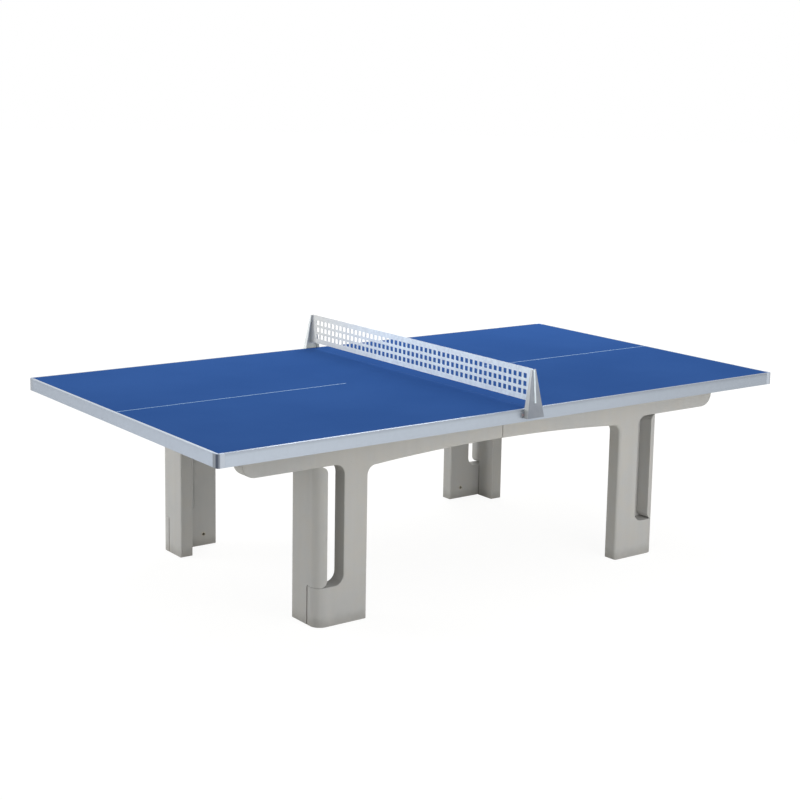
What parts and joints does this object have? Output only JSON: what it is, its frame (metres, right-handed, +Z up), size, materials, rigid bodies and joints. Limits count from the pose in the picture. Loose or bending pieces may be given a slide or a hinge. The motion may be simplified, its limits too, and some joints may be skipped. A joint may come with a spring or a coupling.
{
  "type": "ping pong table",
  "caption": "Outdoor table tennis table: aluminium-edged blue slabs on cast concrete side frames and end plates, with a lift-out perforated steel net.",
  "frame": {"origin": "on the floor, under the middle of the net", "axes": "+X along the table, +Y across it, +Z up"},
  "size_m": [2.74, 1.5788, 0.9125],
  "materials": {
    "coated_slab": "satin coating on polymer concrete",
    "cast_concrete": "smooth fair-faced casting",
    "edge_aluminium": "satin anodised",
    "corner_casting": "cast, satin",
    "net_steel": "galvanised, light grey",
    "bracket_steel": "galvanised",
    "galvanised_steel": "galvanised",
    "bolt_steel": "zinc plated",
    "socket_steel": "zinc plated, turned",
    "rubber_pad": "matt"
  },
  "bodies": {
    "table": {"angle_bolts": "bolt_steel", "angle_screws": "bolt_steel", "bracket_screws": "bolt_steel", "corner_front_left": "corner_casting", "corner_front_right": "corner_casting", "corner_rear_left": "corner_casting", "corner_rear_right": "corner_casting", "edge_sockets": "socket_steel", "end_plate_front_left": "cast_concrete", "end_plate_front_right": "cast_concrete", "end_plate_rear_left": "cast_concrete", "end_plate_rear_right": "cast_concrete", "end_rail_left": "edge_aluminium", "end_rail_right": "edge_aluminium", "frame_pad_front_left": "rubber_pad", "frame_pad_front_right": "rubber_pad", "frame_pad_rear_left": "rubber_pad", "frame_pad_rear_right": "rubber_pad", "frame_sockets": "socket_steel", "ground_sockets": "socket_steel", "joint_screws": "bolt_steel", "long_rail_front_left": "edge_aluminium", "long_rail_front_right": "edge_aluminium", "long_rail_rear_left": "edge_aluminium", "long_rail_rear_right": "edge_aluminium", "net_bracket_front": "bracket_steel", "net_bracket_rear": "bracket_steel", "plate_pad_front_left": "rubber_pad", "plate_pad_front_right": "rubber_pad", "plate_pad_rear_left": "rubber_pad", "plate_pad_rear_right": "rubber_pad", "rail_screws": "bolt_steel", "side_frame_front_left": "cast_concrete", "side_frame_front_right": "cast_concrete", "side_frame_rear_left": "cast_concrete", "side_frame_rear_right": "cast_concrete", "slab_angles_front_left": "galvanised_steel", "slab_angles_front_right": "galvanised_steel", "slab_angles_rear_left": "galvanised_steel", "slab_angles_rear_right": "galvanised_steel", "slab_joint_plate": "galvanised_steel", "slab_left": "coated_slab", "slab_right": "coated_slab", "slab_sockets": "socket_steel", "splice_bolts": "bolt_steel", "splice_plate_front": "galvanised_steel", "splice_plate_rear": "galvanised_steel", "tie_bolts": "bolt_steel", "tie_plugs": "cast_concrete"},
    "net": {"net_panel": "net_steel", "net_end_bar_front": "net_steel", "net_end_bar_rear": "net_steel"}
  },
  "joints": [
    {"name": "net_lift", "type": "slide", "parent": "table", "child": "net", "axis": [0, 0, 1], "range_m": [0, 0.15]}
  ]
}
